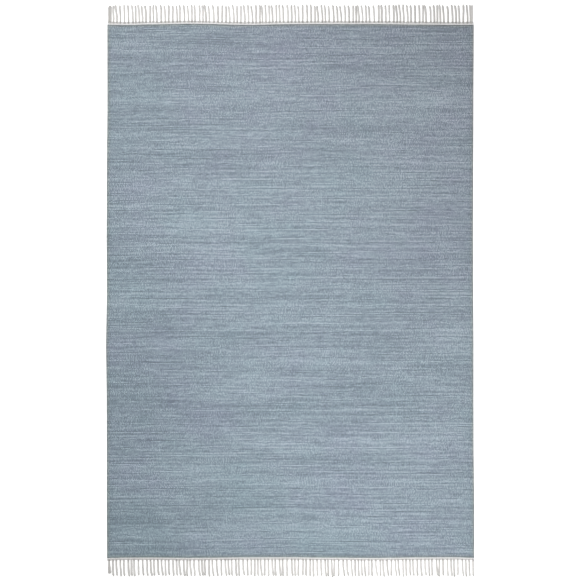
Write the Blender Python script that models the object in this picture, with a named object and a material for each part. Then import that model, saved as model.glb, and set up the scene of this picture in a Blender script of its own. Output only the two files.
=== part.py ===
"""Flatweave rug: one woven cloth with thicker selvedges, and a knotted cotton fringe at each end.

Metres, +Z up. The rug lies flat with its underside on z = 0, its width along X and its length
along Y. The origin is on the underside, at the middle of the whole rug, fringes included.
"""

import math
import random

import bmesh
import bpy

# Cloth
CLOTH_WIDTH = 1.600
CLOTH_LENGTH = 2.330
CLOTH_THICKNESS = 0.005
CLOTH_COLUMN_STEP = 0.032
CLOTH_ROW_STEP = 0.117

# Cross-section of a selvedge, from the outer edge inwards: the weft wraps a bundle of edge warps.
SELVEDGE_PROFILE = (
    {"inwards": 0.0000, "height": 0.0022},
    {"inwards": 0.0009, "height": 0.0050},
    {"inwards": 0.0034, "height": 0.0065},
    {"inwards": 0.0061, "height": 0.0058},
    {"inwards": 0.0082, "height": 0.0045},
    {"inwards": 0.0105, "height": 0.0050},
)

# How far each long side stands outside its straight line, along the length from near to far end.
SIDE_DRIFT = (
    {"share": 0.00, "left": -0.001, "right": 0.0035},
    {"share": 0.10, "left": 0.000, "right": 0.0035},
    {"share": 0.20, "left": 0.000, "right": 0.0005},
    {"share": 0.30, "left": 0.0005, "right": 0.000},
    {"share": 0.40, "left": 0.0035, "right": 0.000},
    {"share": 0.50, "left": -0.0005, "right": -0.0015},
    {"share": 0.60, "left": 0.001, "right": -0.0025},
    {"share": 0.72, "left": 0.000, "right": -0.0015},
    {"share": 0.85, "left": -0.0025, "right": -0.0005},
    {"share": 1.00, "left": -0.002, "right": 0.001},
)

# How far each woven end stands outside its straight line, across the width from left to right.
END_DRIFT = (
    {"share": 0.00, "near": 0.002, "far": -0.002},
    {"share": 0.05, "near": 0.000, "far": -0.0035},
    {"share": 0.12, "near": -0.0005, "far": -0.001},
    {"share": 0.22, "near": 0.0015, "far": 0.002},
    {"share": 0.39, "near": -0.001, "far": -0.003},
    {"share": 0.50, "near": -0.0015, "far": 0.000},
    {"share": 0.60, "near": 0.0005, "far": 0.0005},
    {"share": 0.75, "near": 0.002, "far": 0.0005},
    {"share": 0.84, "near": -0.0005, "far": -0.0015},
    {"share": 0.95, "near": -0.0015, "far": -0.003},
    {"share": 1.00, "near": 0.001, "far": -0.0025},
)

# White cotton heading, woven after the last coloured pick
SEAM_GAP = 0.0004
HEADING_WIDTH = 0.007
HEADING_EDGE_HEIGHT = 0.0034
HEADING_CROWN_HEIGHT = 0.0044

# Fringe strands: the warps of each bundle are knotted at the heading, then twisted to the tip.
KNOT_ROOT_WIDTH = 0.0080
CORNER_SCALE = 1.7
TOP_NARROWING = 0.6
TIP_LEAN = (-0.0064, 0.0008)
TIP_GAP = 0.0010
TIP_UNEVENNESS = 0.0035
SWAY = 0.0007
FRINGE_SEED = 41

# Each knot is tied a little off its even place, and the next one makes up for part of that.
ROOT_STRAY = 0.0035
ROOT_MEMORY = 0.7
CALM_STRANDS = 4

# Sections along a strand. Those of the knot go by a distance, and the rest by a share of the
# length that is left beyond the knot.
KNOT_SECTIONS = (
    {"distance": 0.0012, "width": 0.0088, "height": 0.0066},
    {"distance": 0.0046, "width": 0.0092, "height": 0.0070},
    {"distance": 0.0078, "width": 0.0050, "height": 0.0045},
)
STRAND_SECTIONS = (
    {"share": 0.33, "width": 0.0060, "height": 0.0050},
    {"share": 0.68, "width": 0.0058, "height": 0.0048},
    {"share": 0.94, "width": 0.0064, "height": 0.0042},
    {"share": 1.00, "width": 0.0046, "height": 0.0030},
)

# The two ends. Reach is from the cloth's straight end line to the longest tip. The insets are
# from the long sides to the middle of the first and last strand, in the end's own left and right.
FRINGES = {
    "far": {"count": 98, "reach": 0.083, "first_inset": 0.011, "last_inset": 0.011, "thick": (0, 97)},
    "near": {"count": 99, "reach": 0.080, "first_inset": 0.0055, "last_inset": 0.0085, "thick": (98,)},
}

# The fringes differ in reach, so the cloth lies a little off the middle of the whole.
CLOTH_MIDDLE_Y = (FRINGES["near"]["reach"] - FRINGES["far"]["reach"]) / 2

WOOL_BLUE = (0.29, 0.352, 0.407, 1.0)
COTTON_WHITE = (0.80, 0.79, 0.76, 1.0)
SHARP_ANGLE = math.radians(35)


def clear_scene():
    """Remove everything that the file opened with."""
    for obj in list(bpy.data.objects):
        bpy.data.objects.remove(obj)


def eased(rows, column, share):
    """Read a column of a table at a share from 0 to 1, with a smooth curve between its rows."""
    for low, high in zip(rows, rows[1:]):
        if share <= high["share"]:
            step = (share - low["share"]) / (high["share"] - low["share"])
            blend = (1 - math.cos(math.pi * max(step, 0.0))) / 2
            return low[column] + (high[column] - low[column]) * blend
    return rows[-1][column]


def side_x(side, y):
    """X of a long side of the cloth, at a distance y from the cloth's middle."""
    half = CLOTH_WIDTH / 2 + eased(SIDE_DRIFT, side, y / CLOTH_LENGTH + 0.5)
    return -half if side == "left" else half


def end_reach(end, x):
    """How far a woven end lies from the cloth's middle, at a distance x across from it."""
    return CLOTH_LENGTH / 2 + eased(END_DRIFT, end, x / CLOTH_WIDTH + 0.5)


def evenly(start, stop, longest_step):
    """Places from start to stop, both included, in equal steps no longer than the one given."""
    steps = math.ceil((stop - start) / longest_step)
    return [start + (stop - start) * i / steps for i in range(steps + 1)]


def new_material(name, colour, roughness):
    """A plain Principled material."""
    material = bpy.data.materials.new(name)
    material.use_nodes = True
    shader = material.node_tree.nodes["Principled BSDF"]
    shader.inputs["Base Color"].default_value = colour
    shader.inputs["Roughness"].default_value = roughness
    shader.inputs["Metallic"].default_value = 0.0
    return material


def grid_rows(bm, columns, rows):
    """Add a flat grid of columns by rows points, and return its points row by row."""
    made = bmesh.ops.create_grid(bm, x_segments=columns - 1, y_segments=rows - 1, size=0.5)
    points = sorted(made["verts"], key=lambda v: (round(v.co.y, 5), round(v.co.x, 5)))
    return [points[i * columns:(i + 1) * columns] for i in range(rows)]


def thicken_to_floor(bm):
    """Close a shaped upper surface with walls and a flat underside on z = 0."""
    upper = list(bm.faces)
    made = bmesh.ops.extrude_face_region(bm, geom=upper, use_keep_orig=True)
    lower = [item for item in made["geom"] if isinstance(item, bmesh.types.BMVert)]
    for point in lower:
        point.co.z = 0.0
    underside = [item for item in made["geom"] if isinstance(item, bmesh.types.BMFace)]
    bmesh.ops.dissolve_faces(bm, faces=underside, use_verts=False)
    loose = [point for point in lower if point.is_valid and not point.link_faces]
    bmesh.ops.delete(bm, geom=loose, context="VERTS")
    bmesh.ops.recalc_face_normals(bm, faces=bm.faces)


def object_from(bm, name, material, collection, parent):
    """Make the finished mesh one named object of the rug."""
    mesh = bpy.data.meshes.new(name)
    bm.to_mesh(mesh)
    bm.free()
    mesh.materials.append(material)
    mesh.shade_smooth()
    mesh.set_sharp_from_angle(angle=SHARP_ANGLE)
    obj = bpy.data.objects.new(name, mesh)
    collection.objects.link(obj)
    obj.parent = parent
    return obj


def cloth_columns():
    """Places across the cloth: which side a place is measured from, its distance in and height."""
    middle = CLOTH_WIDTH / 2
    inner = SELVEDGE_PROFILE[-1]["inwards"]
    left = [("left", p["inwards"], p["height"]) for p in SELVEDGE_PROFILE]
    right = [("right", p["inwards"], p["height"]) for p in reversed(SELVEDGE_PROFILE)]
    panel = []
    for place in evenly(inner - middle, middle - inner, CLOTH_COLUMN_STEP)[1:-1]:
        side = "left" if place < 0 else "right"
        panel.append((side, middle - abs(place), CLOTH_THICKNESS))
    return left + panel + right


def make_cloth(material, collection, parent):
    """The woven panel, one solid: its outline drifts a little, and its selvedges are rounded."""
    columns = cloth_columns()
    along = evenly(-CLOTH_LENGTH / 2, CLOTH_LENGTH / 2, CLOTH_ROW_STEP)
    bm = bmesh.new()
    for y, row in zip(along, grid_rows(bm, len(columns), len(along))):
        for (side, inwards, height), point in zip(columns, row):
            edge = side_x(side, y)
            x = edge + inwards if side == "left" else edge - inwards
            end = "far" if y > 0 else "near"
            stretch = end_reach(end, x) / (CLOTH_LENGTH / 2)
            point.co = (x, y * stretch, height)
    thicken_to_floor(bm)
    cloth = object_from(bm, "rug_cloth", material, collection, parent)
    cloth.location = (0.0, CLOTH_MIDDLE_Y, 0.0)
    return cloth


def strand_roots(end, side_sign, dice):
    """Middle and width of each strand where it leaves the heading, from left to right of its end.

    side_sign is 1 at the far end, and -1 at the near end, which is turned half round. The strands
    next to a corner stray less than the others.
    """
    fringe = FRINGES[end]
    y = side_sign * CLOTH_LENGTH / 2
    left_side, right_side = ("left", "right") if side_sign > 0 else ("right", "left")
    first = -abs(side_x(left_side, y)) + fringe["first_inset"]
    last = abs(side_x(right_side, y)) - fringe["last_inset"]
    steps = fringe["count"] - 1
    pitch = (last - first) / steps
    stray = 0.0
    roots = []
    for i in range(fringe["count"]):
        stray = stray * ROOT_MEMORY + dice.uniform(-ROOT_STRAY, ROOT_STRAY)
        share = min(1.0, i / CALM_STRANDS, (steps - i) / CALM_STRANDS)
        scale = CORNER_SCALE if i in fringe["thick"] else 1.0
        roots.append({"middle": first + pitch * i + stray * share, "scale": scale})
    return roots


def tip_leans(roots, dice):
    """How far each tip lies to the side of its root, so that it clears the tip before it."""
    width = max(part["width"] for part in STRAND_SECTIONS)
    leans = []
    least = -math.inf
    for root, following in zip(roots, roots[1:] + roots[-1:]):
        lean = max(dice.uniform(*TIP_LEAN), least - root["middle"])
        room = width * (root["scale"] + following["scale"]) / 2 + TIP_GAP
        least = root["middle"] + lean + room
        leans.append(lean)
    return leans


def heading_stations(roots, left, right):
    """Places across a heading, from end to end: its corners, and both sides of each root."""
    places = [left]
    for root in roots:
        half = KNOT_ROOT_WIDTH * root["scale"] / 2
        places += [root["middle"] - half, root["middle"] + half]
    return places + [right]


def section_corners(middle, distance, width, height):
    """Corners of a four-sided section that rests level on the floor: lower pair, then upper."""
    low, high = width / 2, width * TOP_NARROWING / 2
    return (
        (middle - low, distance, 0.0),
        (middle + low, distance, 0.0),
        (middle - high, distance, height),
        (middle + high, distance, height),
    )


def strand_path(root, lean, outer_edge, reach, dice):
    """Sections of one strand beyond the heading: its middle, distance, width and height."""
    sway = dice.uniform(-SWAY, SWAY)
    length = reach - outer_edge - dice.uniform(0.0, TIP_UNEVENNESS)
    knot_end = KNOT_SECTIONS[-1]["distance"]
    sections = []
    for part in KNOT_SECTIONS:
        sections.append((root["middle"], outer_edge + part["distance"], part))
    for part in STRAND_SECTIONS:
        share = part["share"]
        sideways = lean * share ** 2 + sway * math.sin(math.tau * share)
        distance = outer_edge + knot_end + (length - knot_end) * share
        sections.append((root["middle"] + sideways, distance, part))
    return [
        (middle, distance, part["width"] * root["scale"], part["height"] * math.sqrt(root["scale"]))
        for middle, distance, part in sections
    ]


def grow_strands(bm, faces, paths):
    """Draw each root face of the heading out into its strand, one section after another."""
    for step in range(len(KNOT_SECTIONS) + len(STRAND_SECTIONS)):
        made = bmesh.ops.extrude_discrete_faces(bm, faces=faces)
        faces = sorted(made["faces"], key=lambda f: f.calc_center_median().x)
        for face, path in zip(faces, paths):
            upper_first = sorted(face.verts, key=lambda v: v.co.z)
            lower = sorted(upper_first[:2], key=lambda v: v.co.x)
            upper = sorted(upper_first[2:], key=lambda v: v.co.x)
            for point, corner in zip(lower + upper, section_corners(*path[step])):
                point.co = corner


def make_fringe(end, side_sign, material, collection, parent):
    """One end's heading with its strands, one solid, built towards +Y and turned into place."""
    dice = random.Random(FRINGE_SEED + side_sign)
    roots = strand_roots(end, side_sign, dice)
    y = side_sign * CLOTH_LENGTH / 2
    edges = sorted(side_sign * side_x(side, y) for side in ("left", "right"))
    stations = heading_stations(roots, edges[0], edges[1])

    bm = bmesh.new()
    across = (
        (0.0, HEADING_EDGE_HEIGHT),
        (HEADING_WIDTH / 2, HEADING_CROWN_HEIGHT),
        (HEADING_WIDTH, HEADING_EDGE_HEIGHT),
    )
    for (distance, height), row in zip(across, grid_rows(bm, len(stations), len(across))):
        for x, point in zip(stations, row):
            inner = end_reach(end, side_sign * x) - CLOTH_LENGTH / 2 + SEAM_GAP
            point.co = (x, inner + distance, height)
    thicken_to_floor(bm)

    walls = [f for f in bm.faces if f.normal.y > 0.9]
    faces = []
    for root in roots:
        faces.append(min(walls, key=lambda f: abs(f.calc_center_median().x - root["middle"])))
    paths = []
    for root, lean, face in zip(roots, tip_leans(roots, dice), faces):
        outer_edge = face.calc_center_median().y
        paths.append(strand_path(root, lean, outer_edge, FRINGES[end]["reach"], dice))
    grow_strands(bm, faces, paths)

    fringe = object_from(bm, f"{end}_fringe", material, collection, parent)
    fringe.location = (0.0, CLOTH_MIDDLE_Y + y, 0.0)
    fringe.rotation_euler = (0.0, 0.0, 0.0 if side_sign > 0 else math.pi)
    return fringe


def main():
    clear_scene()
    collection = bpy.data.collections.new("flatweave_rug")
    bpy.context.scene.collection.children.link(collection)
    rug = bpy.data.objects.new("rug", None)
    collection.objects.link(rug)
    wool = new_material("blue_wool", WOOL_BLUE, 0.95)
    cotton = new_material("white_cotton", COTTON_WHITE, 0.9)
    make_cloth(wool, collection, rug)
    make_fringe("far", 1, cotton, collection, rug)
    make_fringe("near", -1, cotton, collection, rug)


main()
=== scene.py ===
"""The looks of a flatweave rug, laid flat and seen from straight above.

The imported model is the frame. The cloth is woven here with every pick as a ridge, and each end is
finished with a twined cotton heading, a row of knots and the twisted strands of its fringe.
"""

import logging
import math
import random
from contextlib import contextmanager
from dataclasses import dataclass
from enum import Enum
from typing import Any, Callable, Iterator, Sequence

import bpy
import numpy as np
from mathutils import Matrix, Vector, noise


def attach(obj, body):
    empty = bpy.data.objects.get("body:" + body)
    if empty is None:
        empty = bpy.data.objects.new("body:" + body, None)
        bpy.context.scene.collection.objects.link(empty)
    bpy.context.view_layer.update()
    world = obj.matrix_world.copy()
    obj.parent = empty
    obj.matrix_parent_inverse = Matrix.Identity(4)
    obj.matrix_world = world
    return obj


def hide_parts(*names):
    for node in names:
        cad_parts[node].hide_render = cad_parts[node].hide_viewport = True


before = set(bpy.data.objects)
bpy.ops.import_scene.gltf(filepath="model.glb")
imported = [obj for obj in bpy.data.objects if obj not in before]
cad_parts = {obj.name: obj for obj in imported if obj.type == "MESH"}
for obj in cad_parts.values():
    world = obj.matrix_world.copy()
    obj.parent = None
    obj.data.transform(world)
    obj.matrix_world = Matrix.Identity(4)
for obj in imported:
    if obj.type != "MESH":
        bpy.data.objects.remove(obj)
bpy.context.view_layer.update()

Piece = bpy.types.Object
Material = bpy.types.Material
Socket = bpy.types.NodeSocket
Pair = tuple[float, float]

CLOTH_LENGTH = 2.330
CLOTH_MIDDLE_Y = -0.0015
WARP_PITCH = 0.00544
MERGE_DISTANCE = 0.00001
FLOOR_DROP = 0.0002
WEAVE_SHARP_ANGLE = math.radians(42)
YARN_SHARP_ANGLE = math.radians(60)
WHITE = (1.0, 1.0, 1.0, 1.0)

log = logging.getLogger("rug")


class End(Enum):
    """The rug's two fringed ends, each by the way it faces along Y."""

    FAR = 1
    NEAR = -1

    @property
    def word(self) -> str:
        """The end's name as it stands in the names of pieces and nodes."""
        return self.name.lower()


def linear(red: float, green: float, blue: float) -> tuple[float, float, float, float]:
    """Turn a colour of 8-bit display values into the linear colour that shaders use."""
    shares = [(channel / 255 + 0.055) / 1.055 for channel in (red, green, blue)]
    return (*(share**2.4 for share in shares), 1.0)


def deselect_all() -> None:
    """Deselect every object, so that the next operator acts on its own piece alone."""
    bpy.ops.object.select_all(action="DESELECT")


def take(obj: Piece) -> None:
    """Make a piece the only selected one, and the active one.

    Args:
        obj: The piece to work on.
    """
    deselect_all()
    obj.select_set(True)
    bpy.context.view_layer.objects.active = obj


@contextmanager
def editing(obj: Piece) -> Iterator[None]:
    """Open a piece for editing with everything selected, and close it afterwards.

    Args:
        obj: The piece to edit.

    Yields:
        Nothing. The operators of the with block run here.
    """
    take(obj)
    bpy.ops.object.mode_set(mode="EDIT")
    bpy.ops.mesh.select_all(action="SELECT")
    yield
    bpy.ops.object.mode_set(mode="OBJECT")


def read_points(obj: Piece) -> np.ndarray:
    """Read where a mesh's points lie.

    Args:
        obj: The piece to read.

    Returns:
        One row of x, y and z for each point.
    """
    points = np.empty(len(obj.data.vertices) * 3)
    obj.data.vertices.foreach_get("co", points)
    return points.reshape(-1, 3)


def move_points(obj: Piece, points: np.ndarray) -> None:
    """Put a mesh's points in new places, given as one row of x, y and z for each."""
    obj.data.vertices.foreach_set("co", points.ravel())
    obj.data.update()


def note_on_points(obj: Piece, name: str, values: np.ndarray) -> None:
    """Store a number or a vector on each point of a mesh, for its material to read.

    Args:
        obj: The piece to write to.
        name: The attribute's name.
        values: One number, or one row of three, for each point.
    """
    kind, field = ("FLOAT_VECTOR", "vector") if values.ndim == 2 else ("FLOAT", "value")
    obj.data.attributes.new(name, kind, "POINT").data.foreach_set(field, values.ravel())


def copy_of(obj: Piece) -> Piece:
    """Copy a piece that was modelled once, with a mesh of its own.

    Args:
        obj: The piece to copy.

    Returns:
        The copy.
    """
    twin = obj.copy()
    twin.data = obj.data.copy()
    bpy.context.collection.objects.link(twin)
    return twin


def join(pieces: Sequence[Piece], name: str) -> Piece:
    """Join pieces into one mesh.

    Args:
        pieces: The pieces, of which the first stays.
        name: The joined piece's name.

    Returns:
        The joined piece.
    """
    take(pieces[0])
    for piece in pieces:
        piece.select_set(True)
    bpy.ops.object.join()
    joined = bpy.context.object
    joined.name = name
    joined.data.name = name
    return joined


def face_outwards(obj: Piece, sharp_angle: float) -> None:
    """Turn a finished mesh's faces outwards and shade it smooth up to an angle.

    Args:
        obj: The piece to finish.
        sharp_angle: Edges that turn by more than this stay sharp, in radians.
    """
    with editing(obj):
        bpy.ops.mesh.normals_make_consistent(inside=False)
    bpy.ops.object.shade_smooth_by_angle(angle=sharp_angle)


def placed(data: bpy.types.ID) -> Piece:
    """Put a curve, a lamp or a camera into the scene under its own name.

    Args:
        data: The curve, lamp or camera.

    Returns:
        The object that holds it.
    """
    obj = bpy.data.objects.new(data.name, data)
    bpy.context.scene.collection.objects.link(obj)
    return obj


def section_of(points: np.ndarray, turn: float | np.ndarray) -> np.ndarray:
    """A cord's x and z as complex numbers, turned about the cord's line by an angle."""
    return (points[:, 0] + 1j * points[:, 2]) * np.exp(1j * turn)


class Value:
    """A shader socket that holds one number, on which Python's operators add Math nodes."""

    def __init__(self, graph: "Graph", socket: Socket) -> None:
        """Wrap a socket of a graph."""
        self.graph = graph
        self.socket = socket

    def math(self, operation: str, *others: Any) -> "Value":
        """Add a Math node that starts from this value.

        Args:
            operation: The node's operation.
            *others: Its other operands, as values or numbers.

        Returns:
            The node's result.
        """
        operands = dict(enumerate((self, *others)))
        made = self.graph.node("ShaderNodeMath", {"operation": operation}, operands)
        return Value(self.graph, made.outputs[0])

    def __add__(self, other: Any) -> "Value":
        """Add another value or a number."""
        return self.math("ADD", other)

    __radd__ = __add__

    def __mul__(self, other: Any) -> "Value":
        """Multiply by another value or a number."""
        return self.math("MULTIPLY", other)

    __rmul__ = __mul__

    def __sub__(self, other: Any) -> "Value":
        """Take another value or a number away."""
        return self.math("SUBTRACT", other)

    def __rsub__(self, other: Any) -> "Value":
        """Take this value away from a number."""
        return self * -1.0 + other

    def __truediv__(self, other: Any) -> "Value":
        """Divide by another value or a number."""
        return self.math("DIVIDE", other)

    def floor(self) -> "Value":
        """Round down to a whole number."""
        return self.math("FLOOR")

    def fraction(self) -> "Value":
        """Keep the part after the point."""
        return self.math("FRACT")

    def hump(self) -> "Value":
        """Turn a run from 0 to 1 into a rounded hump that is 0 at both ends and 1 midway."""
        return (self * math.pi).math("SINE")


def set_off(read: Callable[[int], Value], share: float) -> Value:
    """Read a value, and take away a share of what its neighbours a step before and after hold."""
    here, before, after = (read(step) for step in (0, -1, 1))
    return here - (before + after) * share


class Graph:
    """The node tree of one material, or of the room."""

    def __init__(self, holder: Material | bpy.types.World) -> None:
        """Empty the node tree of a new material or world.

        Args:
            holder: The material or world.
        """
        self.holder = holder
        self.holder.use_nodes = True
        self.tree = self.holder.node_tree
        self.tree.nodes.clear()

    def node(
        self,
        kind: str,
        settings: dict[str, Any] | None = None,
        sockets: dict[str | int, Any] | None = None,
    ) -> bpy.types.Node:
        """Add a node, set it up and feed its sockets.

        Args:
            kind: The node's type.
            settings: Its properties, which are set first. The stops of a ramp are pairs.
            sockets: A value, a socket or a constant for each input, by name or by number.

        Returns:
            The node.
        """
        made = self.tree.nodes.new(kind)
        for name, value in (settings or {}).items():
            if name == "stops":
                self._set_stops(made.color_ramp, value)
            else:
                setattr(made, name, value)
        for key, value in (sockets or {}).items():
            source = value.socket if isinstance(value, Value) else value
            if isinstance(source, Socket):
                self.tree.links.new(source, made.inputs[key])
            else:
                made.inputs[key].default_value = source
        return made

    @staticmethod
    def _set_stops(ramp: bpy.types.ColorRamp, stops: Sequence[tuple[float, Sequence[float]]]) -> None:
        """Give a ramp its stops.

        Args:
            ramp: The ramp.
            stops: The place and colour of each stop, from low to high.
        """
        while len(ramp.elements) < len(stops):
            ramp.elements.new(1.0)
        for element, (place, colour) in zip(ramp.elements, stops):
            element.position = place
            element.color = colour

    def stored(self, name: str) -> tuple[Value, Value, Value]:
        """Read the x, y and z of a vector that is stored on the piece's points."""
        made = self.node("ShaderNodeAttribute", {"attribute_name": name})
        return self.parts_of(made.outputs["Vector"])

    def stored_number(self, name: str) -> Value:
        """Read a number that is stored on the piece's points."""
        made = self.node("ShaderNodeAttribute", {"attribute_name": name})
        return Value(self, made.outputs["Fac"])

    def parts_of(self, vector: Socket) -> tuple[Value, Value, Value]:
        """Split a vector into its x, y and z."""
        split = self.node("ShaderNodeSeparateXYZ", sockets={"Vector": vector})
        return tuple(Value(self, output) for output in split.outputs)

    def vector(self, x: Any, y: Any, z: Any = 0.0) -> Socket:
        """Make a vector of three values or numbers."""
        return self.node("ShaderNodeCombineXYZ", sockets={"X": x, "Y": y, "Z": z}).outputs[0]

    def cloudy(self, place: Sequence[Any], size: float, detail: float, rough: float) -> Value:
        """Read a soft noise.

        Args:
            place: The x, y and z where it is read.
            size: How large its features are.
            detail: How many finer layers it has.
            rough: How strong each finer layer is.

        Returns:
            The noise, about 0 on average.
        """
        layers = {"Scale": 1.0 / size, "Detail": detail, "Roughness": rough}
        made = self.node("ShaderNodeTexNoise", sockets={"Vector": self.vector(*place), **layers})
        return Value(self, made.outputs["Fac"]) - 0.5

    def speckle(self, *place: Any) -> Value:
        """Read a number that jumps from one whole place to the next, about 0 on average."""
        made = self.node("ShaderNodeTexWhiteNoise", sockets={"Vector": self.vector(*place)})
        return Value(self, made.outputs["Value"]) - 0.5

    def tinted(self, colour: Any, tint: Sequence[float], share: Value) -> Socket:
        """Multiply a colour by a tint, more or less strongly from place to place.

        Args:
            colour: The colour's socket, or a constant colour.
            tint: The colour to multiply by.
            share: How far the tint counts, from 0 to 1.

        Returns:
            The tinted colour.
        """
        settings = {"data_type": "RGBA", "blend_type": "MULTIPLY", "clamp_factor": True}
        made = self.node("ShaderNodeMix", settings, {0: share, 6: colour, 7: tint})
        return made.outputs[2]

    def surface(self, sockets: dict[str, Any]) -> None:
        """Close the tree with a surface that has the given inputs."""
        shader = self.node("ShaderNodeBsdfPrincipled", sockets=sockets)
        self.node("ShaderNodeOutputMaterial", sockets={"Surface": shader.outputs["BSDF"]})

    def fibres(self, colour: Socket, rough: Value, relief: Value, depth: float, sheen: float) -> Material:
        """Close the tree with a matt fibre surface.

        Args:
            colour: The fibres' colour.
            rough: Their roughness.
            relief: The height of the fine relief, from 0 to 1.
            depth: How far that relief reaches, in metres.
            sheen: How strongly stray fibres catch the light at a slant.

        Returns:
            The material.
        """
        sockets = {"Strength": 1.0, "Distance": depth, "Height": relief}
        bump = self.node("ShaderNodeBump", sockets=sockets)
        self.surface(
            {
                "Base Color": colour,
                "Roughness": rough,
                "Normal": bump.outputs["Normal"],
                "Specular IOR Level": 0.15,
                "Sheen Weight": sheen,
                "Sheen Roughness": 0.6,
            }
        )
        return self.holder


@dataclass(frozen=True)
class WoolFinish:
    """Matt, mottled grey-blue wool in a weft-faced weave.

    The cloth's points hold where they lay on the flat cloth, in metres, so the weave follows its
    picks. Each pick has its own shade, which drifts along the yarn in long and short streaks.
    Over each warp a pick shows as a bead, and the beads of the next pick lie between them. Where
    a noise is read, a bare number only sets it apart from the other noises.
    """

    pick_pitch: float
    streak_length: float = 0.400
    band_length: float = 0.120
    band_stretch: float = 0.15
    patch_size: float = 0.80
    fibre_size: float = 0.0009
    fibre_slant: float = 0.35
    fibre_stretch: float = 0.18
    slub_length: float = 0.0100
    grain_pitch: float = 0.0044
    grain_step: float = 0.37
    grain_region_size: float = 0.2
    grain_region_gain: float = 2.4
    least_grain: float = 0.25
    bead_drift_length: float = 0.03
    bead_wander: float = 0.5
    hue_size: float = 0.45
    middle_tone: float = 0.454
    pick_gain: float = 0.20
    pick_contrast: float = 0.15
    streak_gain: float = 2.70
    slub_gain: float = 0.54
    grain_gain: float = 0.70
    band_gain: float = 0.44
    patch_gain: float = 0.35
    grain_contrast: float = 0.5
    bead_gain: float = 0.12
    fibre_gain: float = 0.35
    hue_gain: float = 3.5
    warmth_gain: float = 1.1
    warmth_way: Pair = (0.3, 0.7)
    bead_depth: float = 0.0009
    # Painted shade: how far in from the cloth's edges and ends the wool darkens, and by how much.
    edge_shade_reach: float = 0.030
    edge_shade_gain: float = 0.10
    rim_reach: float = 0.016
    rim_gain: float = 0.07
    last_pick_reach: float = 0.007
    # Painted shade: how strongly the last pick's hollow (more at the near end than the far), the grooves
    # between picks and the gaps between beads are darkened.
    near_end_shade: float = 1.3
    far_end_shade_loss: float = 0.4
    groove_shade_gain: float = 0.8
    gap_shade_gain: float = 0.3
    roughness: float = 0.93
    sheen: float = 0.12

    TONES = (
        (0.0, linear(119, 132, 142)),
        (0.25, linear(137, 150, 161)),
        (0.5, linear(154, 168, 178)),
        (0.75, linear(171, 185, 195)),
        (1.0, linear(189, 202, 211)),
    )
    LILAC = (1.0, 0.93, 1.0, 1.0)
    TEAL = (0.93, 1.0, 0.98, 1.0)
    WARM = (1.0, 0.93, 0.93, 1.0)
    COOL = (0.93, 1.0, 1.0, 1.0)
    BROWN_RIM = (1.0, 0.932, 0.80, 1.0)
    # Painted shade for the weave's grooves, gaps and end hollows.
    HOLLOW_SHADE = (0.60, 0.62, 0.65, 1.0)

    def material(self, size: Pair) -> Material:
        """Build the wool's material.

        Args:
            size: The flat cloth's width and length.

        Returns:
            The material.
        """
        graph = Graph(bpy.data.materials.new("mottled_wool"))
        x, y, _ = graph.stored("flat")
        width, length = size
        pick = y / self.pick_pitch
        row = pick.floor()
        drift = graph.cloudy((x / self.bead_drift_length, row * 3.7, 8.0), 1.0, 0.0, 0.5)
        loose = drift * self.bead_wander
        bead_place = (x / WARP_PITCH + row + loose) * 0.5

        pick_tone = set_off(lambda step: graph.speckle(0.0, row + step), self.pick_contrast)
        streak = set_off(lambda step: self._streak(graph, x, row + step), self.pick_contrast)
        band = graph.cloudy((x * self.band_stretch, y, 5.0), self.band_length, 2.0, 0.7)
        patch = graph.cloudy((x, y, 2.0), self.patch_size, 1.0, 0.5)
        bead_tone = graph.speckle(bead_place.floor(), row)
        slub = graph.cloudy((x / self.slub_length, row * 5.19, 11.4), 1.0, 0.0, 0.5)

        cell_place = x / self.grain_pitch + row * self.grain_step + loose
        cell = cell_place.floor()
        grain = set_off(lambda step: graph.speckle(cell + step, row, 3.0), self.grain_contrast)
        region = graph.cloudy((x, y * 2.0, 21.0), self.grain_region_size, 2.0, 0.6)
        strength = (region * self.grain_region_gain + 1.0).math("MAXIMUM", self.least_grain)
        grain = grain * strength * cell_place.fraction().hump()
        along_fibre = x * math.cos(self.fibre_slant) + y * math.sin(self.fibre_slant)
        across_fibre = y * math.cos(self.fibre_slant) - x * math.sin(self.fibre_slant)
        fibre_place = (along_fibre * self.fibre_stretch, across_fibre)
        fibre = graph.cloudy(fibre_place, self.fibre_size, 3.0, 0.65)

        from_end = y.math("MINIMUM", length - y)
        from_edge = x.math("MINIMUM", width - x).math("MINIMUM", from_end)
        # Painted shade: edge darkens the wool towards the cloth's edges and ends, where the cloth rounds
        # down.
        edge = (1 - from_edge / self.edge_shade_reach).math("MAXIMUM", 0.0)
        rim = (1 - from_edge / self.rim_reach).math("MAXIMUM", 0.0)

        tone = (
            pick_tone * self.pick_gain
            + streak * self.streak_gain
            + slub * self.slub_gain
            + grain * self.grain_gain
            + band * self.band_gain
            + patch * self.patch_gain
            + bead_tone * self.bead_gain
            + fibre * self.fibre_gain
            - edge * self.edge_shade_gain
            + rim * self.rim_gain
            + self.middle_tone
        )
        hue = graph.cloudy((x, y * 1.3, 7.0), self.hue_size, 4.0, 0.8) * self.hue_gain
        share_x, share_y = self.warmth_way
        warmth = (x / width * share_x + y / length * share_y - 0.5) * self.warmth_gain

        bead = bead_place.fraction().hump()
        ridge = pick.fraction().hump()
        # Painted shade: the grooves between picks, the gaps between beads and the hollow by each end's
        # last pick are darkened, more at the near end than at the far.
        groove = (1 - ridge).math("POWER", 2.0)
        gap = (1 - bead).math("POWER", 2.0)
        last_pick = (from_end / self.last_pick_reach).math("MINIMUM", 1.0).hump()
        last_depth = self.near_end_shade - y / length * self.far_end_shade_loss
        painted_hollow_shade = groove * self.groove_shade_gain + gap * self.gap_shade_gain + last_pick * (1 - bead) * last_depth

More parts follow.
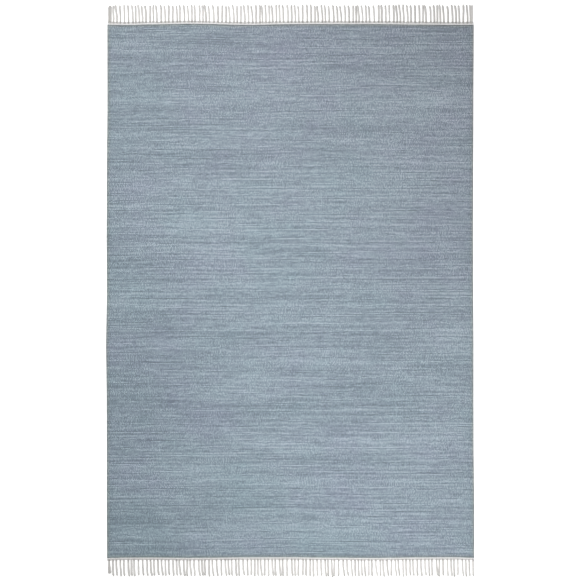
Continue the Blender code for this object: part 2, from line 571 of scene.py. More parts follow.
        ramp = graph.node("ShaderNodeValToRGB", {"stops": self.TONES}, {"Fac": tone})
        colour = ramp.outputs["Color"]
        for tint, share in (
            (self.LILAC, hue),
            (self.TEAL, hue * -1.0),
            (self.WARM, warmth),
            (self.COOL, warmth * -1.0),
            (self.BROWN_RIM, rim),
            (self.HOLLOW_SHADE, painted_hollow_shade),
        ):
            colour = graph.tinted(colour, tint, share)
        relief = (bead * 0.5 + 0.5) * ridge + fibre * 0.5
        return graph.fibres(colour, fibre * 0.15 + self.roughness, relief, self.bead_depth, self.sheen)

    def _streak(self, graph: Graph, x: Value, row: Value) -> Value:
        """Read how a pick's shade drifts along its yarn."""
        return graph.cloudy((x / self.streak_length, row * 17.31, 0.4), 1.0, 6.0, 0.93)


@dataclass(frozen=True)
class CottonFinish:
    """Matt white cotton yarn.

    A cord's points hold where they lay before the cord was twisted, so its fibres run along its
    plies, and a tone that darkens whole strands a little. The tone also carries painted shade: in
    the crevices at their knots, the grooves between plies, the undersides and the roots.
    """

    base: tuple[float, ...] = linear(250, 249, 247)
    fibre_size: float = 0.0005
    fibre_stretch: float = 0.12
    fibre_depth: float = 0.00025
    fibre_gain: float = 1.4
    fibre_share: float = 0.15
    slub_length: float = 0.012
    slub_gain: float = 2.0
    slub_share: float = 0.2
    roughness: float = 0.9
    sheen: float = 0.08

    # The dark end of the stored tone: partly the yarn's own tone, partly painted shade.
    SHADOW = (0.24, 0.231, 0.225, 1.0)
    FIBRE_SHADOW = (0.75, 0.74, 0.72, 1.0)
    CREAM = (0.90, 0.885, 0.85, 1.0)

    def material(self, name: str) -> Material:
        """Build the cotton's material.

        Args:
            name: The material's name.

        Returns:
            The material.
        """
        graph = Graph(bpy.data.materials.new(name))
        x, y, z = graph.stored("yarn")
        fibre = graph.cloudy((x, y * self.fibre_stretch, z), self.fibre_size, 2.0, 0.6)
        slub = graph.cloudy((x, y, z), self.slub_length, 2.0, 0.5)

        # The stored tone holds each yarn's own tone and painted shade.
        colour = graph.tinted(self.base, self.SHADOW, graph.stored_number("tone"))
        colour = graph.tinted(colour, self.FIBRE_SHADOW, fibre * self.fibre_gain + self.fibre_share)
        colour = graph.tinted(colour, self.CREAM, slub * self.slub_gain + self.slub_share)
        rough = fibre * 0.2 + self.roughness
        return graph.fibres(colour, rough, fibre, self.fibre_depth, self.sheen)


@dataclass(frozen=True)
class FloorFinish:
    """Plain white paper under the rug, lit from within so that it shows no shadow."""

    glow: float = 0.55
    grain_size: float = 0.025

    PAPER = (0.9, 0.9, 0.9, 1.0)
    GRAIN = (0.97, 0.97, 0.97, 1.0)

    def material(self) -> Material:
        """Build the floor's material.

        Returns:
            The material.
        """
        graph = Graph(bpy.data.materials.new("white_paper"))
        place = graph.parts_of(graph.node("ShaderNodeTexCoord").outputs["Object"])
        grain = graph.cloudy(place, self.grain_size, 3.0, 0.5)
        colour = graph.tinted(self.PAPER, self.GRAIN, grain + 0.5)
        glowing = {"Emission Color": WHITE, "Emission Strength": self.glow}
        graph.surface({"Base Color": colour, "Roughness": 0.9, **glowing})
        return graph.holder


class Outline:
    """The cloth's uneven outline, read from the points of its solid's underside.

    A long side runs from corner to corner, so its first and last points are ends of the others.
    """

    FLOOR_BAND = 0.00001
    EDGE_BAND = 0.02

    def __init__(self, node: Piece) -> None:
        """Read the long sides and the woven ends of the cloth's solid.

        Args:
            node: The solid.
        """
        points = np.unique(np.round(read_points(node), 6), axis=0)
        under = points[points[:, 2] < self.FLOOR_BAND]
        low, high = under.min(axis=0), under.max(axis=0)
        at_near = under[:, 1] < low[1] + self.EDGE_BAND
        at_far = under[:, 1] > high[1] - self.EDGE_BAND
        at_left = under[:, 0] < low[0] + self.EDGE_BAND
        at_right = under[:, 0] > high[0] - self.EDGE_BAND
        between = ~(at_near | at_far)
        self.near = self._side(under[at_near], 0)
        self.far = self._side(under[at_far], 0)
        left_side = self._side(under[at_left & between], 1)
        right_side = self._side(under[at_right & between], 1)
        self.left = np.vstack([self.near[:1, ::-1], left_side, self.far[:1, ::-1]])
        self.right = np.vstack([self.near[-1:, ::-1], right_side, self.far[-1:, ::-1]])

    @staticmethod
    def _side(points: np.ndarray, along: int) -> np.ndarray:
        """Put one side's points in order, each as its place along the side and across it."""
        order = np.argsort(points[:, along])
        return points[order][:, [along, 1 - along]]

    def side_x(self, right: bool, y: np.ndarray) -> np.ndarray:
        """X of a long side at each y."""
        side = self.right if right else self.left
        return np.interp(y, side[:, 0], side[:, 1])

    def end_y(self, end: End, x: np.ndarray) -> np.ndarray:
        """Y of a woven end at each x."""
        side = self.far if end is End.FAR else self.near
        return np.interp(x, side[:, 0], side[:, 1])

    def corner_x(self, end: End, right: bool) -> float:
        """X of one of the cloth's corners."""
        side = self.right if right else self.left
        return float(side[-1 if end is End.FAR else 0, 1])


@dataclass
class WovenCloth:
    """The wool cloth with its selvedges, in which every pick is a ridge from side to side.

    A row of points lies at each side of a ridge, at its crest and in the groove beside it. The
    picks bunch up and wander a little, as beaten wool does.
    """

    outline: Outline
    flat_width: float = 1.600
    flat_length: float = CLOTH_LENGTH
    pick_pitch: float = 0.0050
    relief: float = 0.0008
    thickness: float = 0.0051
    panel_columns: int = 27
    wander: float = 0.0014
    slow_rate: Pair = (3.0, 5.0)
    quick_rate: Pair = (7.0, 26.0)
    quick_wander: float = 0.4
    pick_unevenness: float = 0.00009
    calm_share: float = 0.02
    underside: float = 0.0003
    seed: int = 7

    RIDGE = (0.0, 0.72, 1.0, 0.72)
    # A selvedge's points: how far in each lies, how high, and how far along the flat weft.
    SELVEDGE = (
        (-0.0008, 0.0, 0.0018, 0.0035, 0.0053, 0.0068, 0.0080, 0.0096, 0.0120),
        (0.0024, 0.0043, 0.0057, 0.0064, 0.0061, 0.0051, 0.0045, 0.0048, 0.0051),
        (-0.0022, 0.0, 0.0018, 0.0036, 0.0054, 0.0072, 0.0085, 0.0100, 0.0122),
    )
    UNDERSIDE_SHARE = (0.9993, 0.9998, 0.0)

    def build(self, finish: WoolFinish) -> Piece:
        """Weave the cloth and dress it.

        Args:
            finish: The wool's finish.

        Returns:
            The cloth.
        """
        picks = round(self.flat_length / self.pick_pitch)
        rows = picks * len(self.RIDGE)
        columns = 2 * len(self.SELVEDGE[0]) + self.panel_columns
        deselect_all()
        bpy.ops.mesh.primitive_grid_add(x_subdivisions=columns - 1, y_subdivisions=rows, size=1.0)
        cloth = bpy.context.object
        cloth.name = "wool_cloth"
        start = read_points(cloth)
        order = np.argsort(np.lexsort((start[:, 0], np.round(start[:, 1], 6))))
        surface, flat = self._surface(picks, rows)
        move_points(cloth, surface.reshape(-1, 3)[order])
        note_on_points(cloth, "flat", flat.reshape(-1, 3)[order])
        self._add_underside(cloth)
        face_outwards(cloth, WEAVE_SHARP_ANGLE)
        cloth.data.materials.append(finish.material((self.flat_width, self.flat_length)))
        return cloth

    def _surface(self, picks: int, rows: int) -> tuple[np.ndarray, np.ndarray]:
        """Work out where each point of the upper surface lies, and lay on the flat cloth.

        Args:
            picks: How many picks the cloth has.
            rows: How many steps they make along the cloth.

        Returns:
            The places on the rug and on the flat cloth, by row and column.
        """
        shares = np.linspace(0.0, 1.0, rows + 1)[:, None]
        near_y = self.outline.near[:, 1].mean()
        far_y = self.outline.far[:, 1].mean()
        straight_y = near_y + (far_y - near_y) * shares
        left = self.outline.side_x(False, straight_y)
        right = self.outline.side_x(True, straight_y)

        inwards, heights, along = np.array(self.SELVEDGE)
        spread = np.linspace(0.0, 1.0, self.panel_columns + 2)[1:-1]
        inner_left = left + inwards[-1]
        inner_right = right - inwards[-1]
        panel = inner_left + (inner_right - inner_left) * spread
        x = np.hstack([left + inwards, panel, right - inwards[::-1]])
        middle_height = np.full(self.panel_columns, self.thickness)
        height = np.hstack([heights, middle_height, heights[::-1]])
        flat_panel = along[-1] + (self.flat_width - 2 * along[-1]) * spread
        flat_x = np.hstack([along, flat_panel, self.flat_width - along[::-1]])

        near = self.outline.end_y(End.NEAR, x)
        far = self.outline.end_y(End.FAR, x)
        drift = self._wander(x[0], straight_y[:, 0])
        calm = np.minimum(1.0, np.minimum(shares, 1.0 - shares) / self.calm_share)
        y = near + (far - near) * shares + drift * calm

        ridge = np.resize(self.RIDGE, rows + 1)[:, None]
        dice = np.random.default_rng(self.seed)
        loose = dice.normal(0.0, self.pick_unevenness, (picks + 1, 1))
        pick_lift = np.repeat(loose, len(self.RIDGE), axis=0)[: rows + 1]
        z = height - self.relief * (1.0 - ridge) + pick_lift * ridge
        flat_y = np.broadcast_to(shares * picks * self.pick_pitch, x.shape)
        surface = np.stack([x, y, z], axis=-1)
        flat = np.stack([np.broadcast_to(flat_x, x.shape), flat_y, np.zeros_like(x)], axis=-1)
        return surface, flat

    def _wander(self, across: np.ndarray, along: np.ndarray) -> np.ndarray:
        """How far each pick wanders off its straight line.

        Args:
            across: X of each column.
            along: Y of each row.

        Returns:
            The drift of each point, in metres.
        """
        drift = np.empty((len(along), len(across)))
        for i, y in enumerate(along):
            for j, x in enumerate(across):
                slow = noise.noise(Vector((x * self.slow_rate[0], y * self.slow_rate[1], 3.0)))
                quick = noise.noise(Vector((x * self.quick_rate[0], y * self.quick_rate[1], 9.0)))
                drift[i, j] = slow + quick * self.quick_wander
        return drift * self.wander

    def _add_underside(self, cloth: Piece) -> None:
        """Close the cloth with low walls and a flat underside, just clear of the floor.

        Args:
            cloth: The cloth's upper surface.
        """
        with editing(cloth):
            bpy.ops.mesh.region_to_loop()
            bpy.ops.mesh.extrude_region_move(TRANSFORM_OT_translate={"value": (0.0, 0.0, 0.0)})
            floor_place = (0.0, 0.0, self.underside)
            bpy.ops.transform.resize(value=self.UNDERSIDE_SHARE, center_override=floor_place)
            bpy.ops.mesh.edge_face_add()


@dataclass(frozen=True)
class TwistedCord:
    """A cord of a few plies twisted together, modelled as one repeat of its twist and arrayed.

    Its fineness counts the points round each ply, and the rings of each repeat.
    """

    plies: int
    fineness: int
    repeat_length: float
    radius: float
    groove: float

    def lay_up(self, repeats: int) -> Piece:
        """Model a straight cord from the origin along +Y.

        Args:
            repeats: How many repeats of its twist it has.

        Returns:
            The cord, closed at both ends, with its fibres' places before the twist.
        """
        sides = self.plies * self.fineness
        turn = math.tau / sides
        step = self.repeat_length / self.fineness
        upright = (math.pi / 2, 0, 0)
        deselect_all()
        bpy.ops.mesh.primitive_circle_add(vertices=sides, radius=self.radius, rotation=upright)
        bpy.ops.object.transform_apply(location=True, rotation=True, scale=True)
        cord = bpy.context.object
        ring = read_points(cord)
        ring[:: self.fineness] *= self.groove
        move_points(cord, ring)

        with editing(cord):
            for i in range(self.fineness):
                bpy.ops.mesh.extrude_region_move(TRANSFORM_OT_translate={"value": (0.0, step, 0.0)})
                middle = (0.0, step * (i + 1), 0.0)
                bpy.ops.transform.rotate(value=turn, orient_axis="Y", center_override=middle)
        array = cord.modifiers.new("twist", "ARRAY")
        array.use_relative_offset = False
        array.use_constant_offset = True
        array.constant_offset_displace = (0.0, self.repeat_length, 0.0)
        array.count = repeats
        array.use_merge_vertices = True
        array.merge_threshold = MERGE_DISTANCE
        bpy.ops.object.modifier_apply(modifier=array.name)
        with editing(cord):
            bpy.ops.mesh.fill_holes(sides=0)
        points = read_points(cord)
        untwisted = section_of(points, -turn / step * points[:, 1])
        note_on_points(cord, "yarn", np.column_stack([untwisted.real, points[:, 1], untwisted.imag]))
        return cord


@dataclass(frozen=True)
class Tassel:
    """A thicker strand of three cords at a corner, which holds the selvedge's warps too.

    Its index counts from its end's left. Its cords are gathered at the root by a share of their
    spacing, and slimness, shade and shortness set them off from a single strand's cord.
    """

    index: int
    gather: float
    slimness: float
    shade: float
    shortness: float


@dataclass(frozen=True)
class StrandWay:
    """The way of one strand from its heading to its tip, in its end's own frame."""

    middle: float
    start: float
    length: float
    lean: float
    sway: float
    tassel: Tassel | None

    @property
    def scale(self) -> float:
        """How much thicker than others the strand's solid is."""
        return FringePlan.CORNER_SCALE if self.tassel else 1.0

    def sideways(self, share: np.ndarray) -> np.ndarray:
        """X at a share of the free length beyond the knot."""
        return self.middle + self.lean * share**2 + self.sway * np.sin(math.tau * share)


@dataclass
class FringePlan:
    """Where one end's strands lie.

    The end's own frame has its origin on the middle of the cloth's straight end line and its +Y
    outwards. The near end is the far one turned half round.
    """

    outline: Outline
    end: End
    count: int
    reach: float
    insets: Pair
    cord_pitch: float
    cord_tuck: float
    tassels: tuple[Tassel, ...]

    SEAM_GAP = 0.0004
    HEADING_WIDTH = 0.007
    CORNER_SCALE = 1.7
    ROOT_STRAY = 0.0035
    ROOT_MEMORY = 0.7
    CALM_STRANDS = 4
    TIP_LEAN = (-0.0064, 0.0008)
    TIP_WIDTH = 0.0064
    TIP_GAP = 0.0010
    TIP_UNEVENNESS = 0.0035
    SWAY = 0.0007
    SEED = 41

    @property
    def line_y(self) -> float:
        """Y of the cloth's straight end line."""
        return CLOTH_MIDDLE_Y + self.end.value * CLOTH_LENGTH / 2

    def corners(self) -> Pair:
        """X of the end's two corners, from its left to its right."""
        found = (self.end.value * self.outline.corner_x(self.end, right) for right in (False, True))
        return tuple(sorted(found))

    def drift(self, x: np.ndarray) -> np.ndarray:
        """How far the cloth's edge stands outside its straight end line at each x."""
        edge = self.outline.end_y(self.end, self.end.value * x)
        return self.end.value * (edge - self.line_y)

    def lay(self, yarn: Piece, x: np.ndarray, y: np.ndarray, z: np.ndarray) -> None:
        """Lay a yarn's points in their places, which are given in the end's own frame."""
        way = self.end.value
        move_points(yarn, np.column_stack([x * way, y * way + self.line_y, z]))

    def ways(self) -> list[StrandWay]:
        """Work out the way of every strand.

        Returns:
            The strands' ways, from the end's left to its right.
        """
        dice = random.Random(self.SEED + self.end.value)
        found = {tassel.index: tassel for tassel in self.tassels}
        middles = self._roots(dice)
        scales = [self.CORNER_SCALE if i in found else 1.0 for i in range(self.count)]
        leans = self._leans(middles, scales, dice)
        ways = []
        for i, (middle, lean) in enumerate(zip(middles, leans)):
            start = float(self.drift(middle)) + self.SEAM_GAP + self.HEADING_WIDTH
            sway = dice.uniform(-self.SWAY, self.SWAY)
            length = self.reach - start - dice.uniform(0.0, self.TIP_UNEVENNESS)
            ways.append(StrandWay(middle, start, length, lean, sway, found.get(i)))
        return ways

    def _roots(self, dice: random.Random) -> list[float]:
        """Work out where each knot is tied: a little off its even place.

        Args:
            dice: Where the small differences come from.

        Returns:
            X of each strand's root, from left to right.
        """
        left, right = self.corners()
        steps = self.count - 1
        first = left + self.insets[0]
        pitch = (right - self.insets[1] - first) / steps
        stray = 0.0
        middles = []
        for i in range(self.count):
            stray = stray * self.ROOT_MEMORY + dice.uniform(-self.ROOT_STRAY, self.ROOT_STRAY)
            share = min(1.0, i / self.CALM_STRANDS, (steps - i) / self.CALM_STRANDS)
            middles.append(first + pitch * i + stray * share)
        return middles

    def _leans(self, middles: list[float], scales: list[float], dice: random.Random) -> list[float]:
        """Work out how far each tip lies to the side of its root, clear of the tip before it.

        Args:
            middles: X of each strand's root.
            scales: How thick each strand is.
            dice: Where the small differences come from.

        Returns:
            The lean of each strand.
        """
        leans = []
        least = -math.inf
        for i, middle in enumerate(middles):
            lean = max(dice.uniform(*self.TIP_LEAN), least - middle)
            following = scales[min(i + 1, len(scales) - 1)]
            room = self.TIP_WIDTH * (scales[i] + following) / 2 + self.TIP_GAP
            least = middle + lean + room
            leans.append(lean)
        return leans


@dataclass
class Trimming:
    """One cotton piece of an end, joined from yarns that are laid one by one."""

    plan: FringePlan

    WORD = "trimming"

    def yarns(self) -> Iterator[Piece]:
        """Model the yarns, each in its place."""
        raise NotImplementedError

    def build(self, finish: Material) -> Piece:
        """Join the yarns, turn their faces outwards and dress them.

        Args:
            finish: The cotton.

        Returns:
            The piece.
        """
        piece = join(list(self.yarns()), f"{self.plan.end.word}_{self.WORD}")
        face_outwards(piece, YARN_SHARP_ANGLE)
        piece.data.materials.append(finish)
        return piece


@dataclass
class Heading(Trimming):
    """The white cotton heading of one end: twined cords that lock the last picks."""

    cord_radius: float = 0.0021
    groove: float = 0.62
    roundness: float = 1.05
    nesting: float = 0.55
    tones: tuple[float, ...] = (0.03, 0.28, 0.36)
    lifts: tuple[float, ...] = (0.0008, 0.0003, 0.0)

    WORD = "heading"

    def yarns(self) -> Iterator[Piece]:
        """Twine the heading's cords along the cloth's edge.

        Yields:
            The cords, from the cloth outwards.
        """
        left, right = self.plan.corners()
        cord = TwistedCord(
            plies=2, fineness=4, repeat_length=WARP_PITCH, radius=self.cord_radius, groove=self.groove
        )
        repeats = round((right - left) / WARP_PITCH)
        model = cord.lay_up(repeats)
        straight = read_points(model)
        x = left + straight[:, 1] * (right - left) / (repeats * WARP_PITCH)
        inner = self.plan.drift(x) + self.plan.SEAM_GAP + self.cord_radius * self.nesting
        for row, (tone, lift) in enumerate(zip(self.tones, self.lifts)):
            piece = copy_of(model)
            y = inner - self.plan.cord_tuck + row * self.plan.cord_pitch - straight[:, 0]
            z = straight[:, 2] * self.roundness + self.cord_radius * self.roundness + lift
            self.plan.lay(piece, x, y, z)
            note_on_points(piece, "tone", np.full(len(x), tone))
            yield piece
        bpy.data.objects.remove(model)


@dataclass
class KnotRow(Trimming):
    """The row of knots of one end, each pulled up tight on the heading's outer cord."""

    yarn_radius: float = 0.0019
    half_width: float = 0.0050
    half_depth: float = 0.0034
    height: float = 0.0068
    path_points: int = 36
    set_back: float = 0.0022
    turn_range: Pair = (-0.35, 0.35)
    size_range: Pair = (0.94, 1.05)
    # The knots' tone range is darker than the strands', partly their own tone and partly painted shade;
    # below it, painted shade in the knot's crevice and towards the floor.
    tone_range: Pair = (0.37, 0.56)
    painted_crevice_shade: float = 0.25
    painted_floor_shade: float = 0.35

    WORD = "knots"
    SEED = 101
    # Half the width and depth of the knot's path, a trefoil, before it is scaled.
    TREFOIL = (2.76, 2.6)

    def yarns(self) -> Iterator[Piece]:
        """Tie one knot and copy it to every strand.

        Yields:
            The knots, from the end's left to its right.
        """
        dice = random.Random(self.SEED + self.plan.end.value)
        model = self._tie()
        tied = read_points(model)
        for way in self.plan.ways():
            knot = copy_of(model)
            turned = (tied[:, 0] + 1j * tied[:, 1]) * np.exp(1j * dice.uniform(*self.turn_range))
            size = dice.uniform(*self.size_range)
            x = way.middle + turned.real * way.scale * size
            y = way.start + self.half_depth - self.set_back + turned.imag * size
            self.plan.lay(knot, x, y, tied[:, 2] * size)
            # Painted shade: the knot's inner half, against the heading, darkens in its crevice and more
            # towards the floor.
            inner = np.clip(0.5 - tied[:, 1] / self.half_depth / 2, 0.0, 1.0)
            depth = self.painted_crevice_shade + self.painted_floor_shade * (1.0 - tied[:, 2] / self.height)
            note_on_points(knot, "tone", dice.uniform(*self.tone_range) + depth * inner)
            yield knot
        bpy.data.objects.remove(model)

    def _tie(self) -> Piece:
        """Model one overhand knot, pulled tight, standing on the floor at the origin.

        Returns:
            The knot.
        """
        reach_x = (self.half_width - self.yarn_radius) / self.TREFOIL[0]
        reach_y = (self.half_depth - self.yarn_radius) / self.TREFOIL[1]
        reach_z = self.height / 2 - self.yarn_radius
        line = bpy.data.curves.new("knot", "CURVE")
        line.dimensions = "3D"
        line.bevel_depth = self.yarn_radius
        line.bevel_resolution = 1
        spline = line.splines.new("POLY")
        spline.points.add(self.path_points - 1)
        spline.use_cyclic_u = True
        for i, point in enumerate(spline.points):
            t = math.tau * i / self.path_points
            x = (math.sin(t) + 2 * math.sin(2 * t)) * reach_x
            y = (math.cos(t) - 2 * math.cos(2 * t)) * reach_y
            z = self.height / 2 - math.sin(3 * t) * reach_z
            point.co = (x, y, z, 1.0)
        take(placed(line))
        bpy.ops.object.convert(target="MESH")
        knot = bpy.context.object
        note_on_points(knot, "yarn", read_points(knot))
        return knot


@dataclass
class Strands(Trimming):
    """The twisted strands of one end, each of three plies, with the thread ends at its tip."""

    radius: float = 0.0047
    groove: float = 0.76
    flatness: float = 0.82
    repeats: int = 10
    repeat_length: float = 0.0073
    knot_length: float = 0.0046
    cord_closeness: float = 0.80
    thickness_range: Pair = (0.93, 1.05)
    curl_range: Pair = (-0.0011, 0.0005)
    curl_from: float = 0.7
    length_range: Pair = (-0.0030, 0.0015)
    ripple: float = 0.06
    ripple_rate: float = 9.0
    shade_range: Pair = (0.27, 0.41)
    near_lightness: float = 0.03
    # Painted shade in the grooves between plies, on the underside towards the floor, and at the root
    # where the strand leaves its knot.
    painted_crevice_shade: float = 0.5
    painted_floor_shade: float = 0.25
    painted_root_shade: float = 0.3
    root_share: float = 0.05
    tip_shade: float = 0.06
    tip_share: float = 0.25
    outer_threads: int = 6
    thread_radius: float = 0.00085
    thread_spread: float = 0.0014
    thread_parting: Pair = (0.3, 1.1)
    thread_lengths: Pair = (0.0055, 0.0075)
    tuft_stretch: Pair = (0.85, 1.1)
    tuft_set_back: float = 0.003
    tuft_shade: float = 0.1

    WORD = "strands"
    SEED = 211
    TUFT_SEED = 5
    WIDTH_SHARES = (0.0, 0.08, 0.3, 0.9, 0.97, 1.0)
    WIDTHS = (0.96, 0.98, 1.0, 1.08, 1.04, 0.80)
    SINGLE = Tassel(index=-1, gather=0.0, slimness=1.0, shade=0.0, shortness=0.0)

    def yarns(self) -> Iterator[Piece]:
        """Twist one strand and copy it along every way.

        Yields:
            The cords, each with its thread ends.
        """
        dice = random.Random(self.SEED + self.plan.end.value)
        cord = TwistedCord(
            plies=3, fineness=3, repeat_length=self.repeat_length, radius=self.radius, groove=self.groove
        )
        model = cord.lay_up(self.repeats)
        tuft = self._tuft()
        for way in self.plan.ways():
            for side in (-1, 0, 1) if way.tassel else (0,):
                yield from self._strand(model, tuft, way, side, dice)
        bpy.data.objects.remove(model)
        bpy.data.objects.remove(tuft)

    def _strand(
        self,
        model: Piece,
        tuft: Piece,
        way: StrandWay,
        side: int,
        dice: random.Random,
    ) -> list[Piece]:
        """Lay one cord and its thread ends along a way.

        Args:
            model: The straight cord that was modelled once.
            tuft: Its thread ends, modelled once too.
            way: The strand's way.
            side: Which side of that way the cord lies on: -1, 0 or 1.
            dice: Where the small differences come from.

        Returns:
            The cord and its thread ends.
        """
        cord = copy_of(model)
        points = read_points(cord)
        share = points[:, 1] / (self.repeats * self.repeat_length)
        form = way.tassel or self.SINGLE
        turn = dice.uniform(0.0, math.tau)
        section = section_of(points, turn)
        shift = side * self.radius * form.slimness / self.cord_closeness
        fat = dice.uniform(*self.thickness_range) * form.slimness
        width = fat * np.interp(share, self.WIDTH_SHARES, self.WIDTHS)
        curl = dice.uniform(*self.curl_range)
        x = way.sideways(share) + section.real * width + shift * (1 - form.gather * (1 - share))
        x += curl * np.clip(share - self.curl_from, 0.0, 1.0) / (1 - self.curl_from)
        free = way.length - self.knot_length - form.shortness + dice.uniform(*self.length_range)
        y = way.start + self.knot_length + share * free
        ripple = 1.0 + self.ripple * np.sin(share * self.ripple_rate + turn)
        z = section.imag * width * self.flatness + self.radius * fat * self.flatness * ripple
        self.plan.lay(cord, x, y, np.maximum(z, 0.0))

        shade = dice.uniform(*self.shade_range) + form.shade
        if self.plan.end is End.NEAR:
            shade -= self.near_lightness
        # Painted shade: the grooves between plies, the underside towards the floor and the root by the
        # knot are darkened. The shade picked above is the strand's own tone.
        tone = shade + self.painted_crevice_shade * (1.0 - np.abs(section) / self.radius)
        tone += self.painted_floor_shade * (1.0 - np.clip(z / (2.0 * self.radius * self.flatness), 0.0, 1.0))
        tone += self.painted_root_shade * np.clip(1.0 - share / self.root_share, 0.0, 1.0)
        tone += self.tip_shade * np.clip(1.0 - (1.0 - share) / self.tip_share, 0.0, 1.0)
        note_on_points(cord, "tone", tone)

        ends = copy_of(tuft)
        threads = read_points(ends)
        spread = section_of(threads, dice.uniform(0.0, math.tau))
        x = way.sideways(np.array([1.0]))[0] + shift + curl + spread.real * fat
        reach = way.start + self.knot_length + free - self.tuft_set_back
        y = reach + threads[:, 1] * dice.uniform(*self.tuft_stretch)
        z = np.maximum(spread.imag * self.flatness + self.radius * 0.8, 0.0004)
        self.plan.lay(ends, x, y, z)
        note_on_points(ends, "tone", np.full(len(x), shade + self.tuft_shade))
        return [cord, ends]

    def _tuft(self) -> Piece:
        """Model the cut ends of a strand's threads: a few thin threads that part a little.

        Returns:
            The thread ends, from the origin along +Y.
        """
        dice = random.Random(self.TUFT_SEED)
        threads = []
        for i in range(self.outer_threads + 1):
            deselect_all()
            bpy.ops.mesh.primitive_cone_add(
                vertices=4,
                radius1=self.thread_radius,
                radius2=self.thread_radius * 0.5,
                depth=1.0,
                rotation=(-math.pi / 2, 0, 0),
            )
            bpy.ops.object.transform_apply(location=True, rotation=True, scale=True)
            thread = bpy.context.object
            points = read_points(thread)
            share = points[:, 1] + 0.5
            angle = math.tau * i / self.outer_threads
            out = 0.0 if i == self.outer_threads else self.thread_spread
            length = dice.uniform(*self.thread_lengths)
            part = out * (1.0 + dice.uniform(*self.thread_parting) * share)
            points[:, 0] += part * math.cos(angle)
            points[:, 2] += part * math.sin(angle)
            points[:, 1] = share * length
            move_points(thread, points)
            note_on_points(thread, "yarn", points + i)
            threads.append(thread)
        return join(threads, "thread_ends")


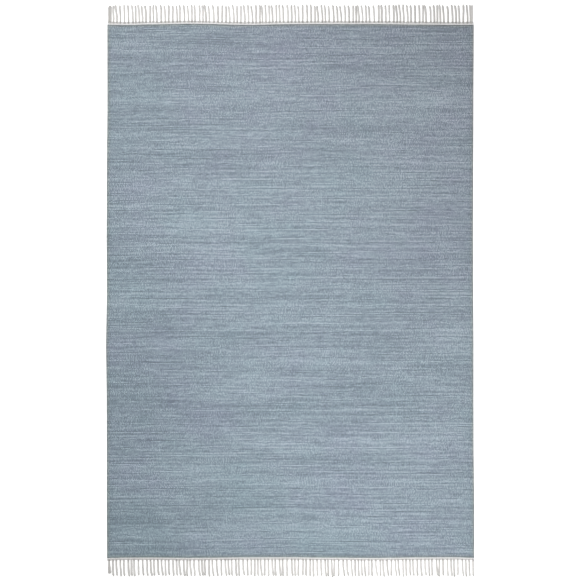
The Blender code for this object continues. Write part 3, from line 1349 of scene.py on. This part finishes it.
@dataclass
class Studio:
    """The white floor, the soft light and the camera straight above."""

    photo_pixels: int = 580
    metres_per_pixel: float = 0.004368
    lens: float = 200.0
    sensor: float = 36.0
    rug_middle_pixel: Pair = (290.15, 290.95)
    floor_size: float = 60.0
    sky: float = 0.41
    sun: float = 0.85
    sun_spread: float = math.radians(25)
    sun_way: tuple[float, float, float] = (0.55, -0.45, -1.0)
    strip: float = 29.0
    strip_size: Pair = (4.4, 0.5)
    strip_place: tuple[float, float, float] = (0.05, -0.12, 1.55)
    strip_way: Pair = (0.95, -2.2)

    def build(self) -> None:
        """Lay the floor, hang the lights and set up the camera."""
        self._floor()
        self._sky()
        self._sun()
        self._strip()
        self._camera()
        bpy.context.scene.view_settings.view_transform = "Standard"

    def _floor(self) -> None:
        """Lay a wide white floor just under the rug."""
        deselect_all()
        bpy.ops.mesh.primitive_plane_add(size=self.floor_size, location=(0.0, 0.0, -FLOOR_DROP))
        floor = bpy.context.object
        floor.name = "floor"
        floor.data.materials.append(FloorFinish().material())

    def _sky(self) -> None:
        """Give the room an even white light from all round, and make it look as white as the floor."""
        graph = Graph(bpy.data.worlds.new("soft_room"))
        seen = Value(graph, graph.node("ShaderNodeLightPath").outputs["Is Camera Ray"])
        strength = seen * (1.0 - self.sky) + self.sky
        sockets = {"Color": WHITE, "Strength": strength}
        background = graph.node("ShaderNodeBackground", sockets=sockets)
        graph.node("ShaderNodeOutputWorld", sockets={"Surface": background.outputs["Background"]})
        bpy.context.scene.world = graph.holder

    def _sun(self) -> None:
        """Add a broad light from the upper left, which shows the weave."""
        lamp = bpy.data.lights.new("upper_left_light", "SUN")
        lamp.energy = self.sun
        lamp.angle = self.sun_spread
        light = placed(lamp)
        light.rotation_euler = Vector(self.sun_way).to_track_quat("-Z", "Y").to_euler()

    def _strip(self) -> None:
        """Hang a long soft light over the diagonal from the upper left to the lower right."""
        lamp = bpy.data.lights.new("strip_light", "AREA")
        lamp.shape = "RECTANGLE"
        lamp.size, lamp.size_y = self.strip_size
        lamp.energy = self.strip
        light = placed(lamp)
        light.location = self.strip_place
        light.rotation_euler = (0.0, 0.0, math.atan2(self.strip_way[1], self.strip_way[0]))
        light.visible_camera = False

    def _camera(self) -> None:
        """Put the camera high above the rug, with the photograph's frame."""
        view_width = self.photo_pixels * self.metres_per_pixel
        distance = view_width * self.lens / self.sensor
        centre = self.photo_pixels / 2
        x = (centre - self.rug_middle_pixel[0]) * self.metres_per_pixel
        y = CLOTH_MIDDLE_Y + (self.rug_middle_pixel[1] - centre) * self.metres_per_pixel
        data = bpy.data.cameras.new("above")
        data.lens = self.lens
        data.sensor_width = self.sensor
        data.clip_end = distance * 2
        camera = placed(data)
        camera.location = (x, y, distance)
        bpy.context.scene.camera = camera


def declare(piece: Piece, node: str) -> None:
    """Hang a piece on the frame's root, and hide the solid that it stands for.

    Args:
        piece: The piece.
        node: The solid that it stands for.
    """
    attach(piece, "root")
    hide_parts(node)
    log.info("%s stands for %s: %d faces", piece.name, node, len(piece.data.polygons))


def main() -> None:
    """Dress the rug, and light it."""
    logging.basicConfig(level=logging.INFO, format="%(name)s: %(message)s")
    outline = Outline(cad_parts["rug_cloth"])
    weave = WovenCloth(outline)
    cloth = weave.build(WoolFinish(pick_pitch=weave.pick_pitch))
    declare(cloth, "rug_cloth")

    far_plan = FringePlan(
        outline=outline,
        end=End.FAR,
        count=98,
        reach=0.083,
        insets=(0.011, 0.011),
        cord_pitch=0.0045,
        cord_tuck=0.0,
        tassels=(
            Tassel(index=0, gather=0.10, slimness=0.76, shade=0.15, shortness=0.004),
            Tassel(index=97, gather=0.25, slimness=0.80, shade=-0.02, shortness=0.0),
        ),
    )
    near_plan = FringePlan(
        outline=outline,
        end=End.NEAR,
        count=99,
        reach=0.080,
        insets=(0.0055, 0.0085),
        cord_pitch=0.0040,
        cord_tuck=0.0009,
        tassels=(Tassel(index=98, gather=0.75, slimness=0.70, shade=0.13, shortness=0.013),),
    )
    cotton = CottonFinish().material("white_cotton")
    heading_cotton = CottonFinish(linear(244, 244, 245)).material("heading_cotton")
    for plan in (far_plan, near_plan):
        dressed = ((Heading(plan), heading_cotton), (KnotRow(plan), cotton), (Strands(plan), cotton))
        for part, finish in dressed:
            piece = part.build(finish)
            declare(piece, f"{plan.end.word}_fringe")

    Studio().build()


if __name__ == "__main__":
    main()
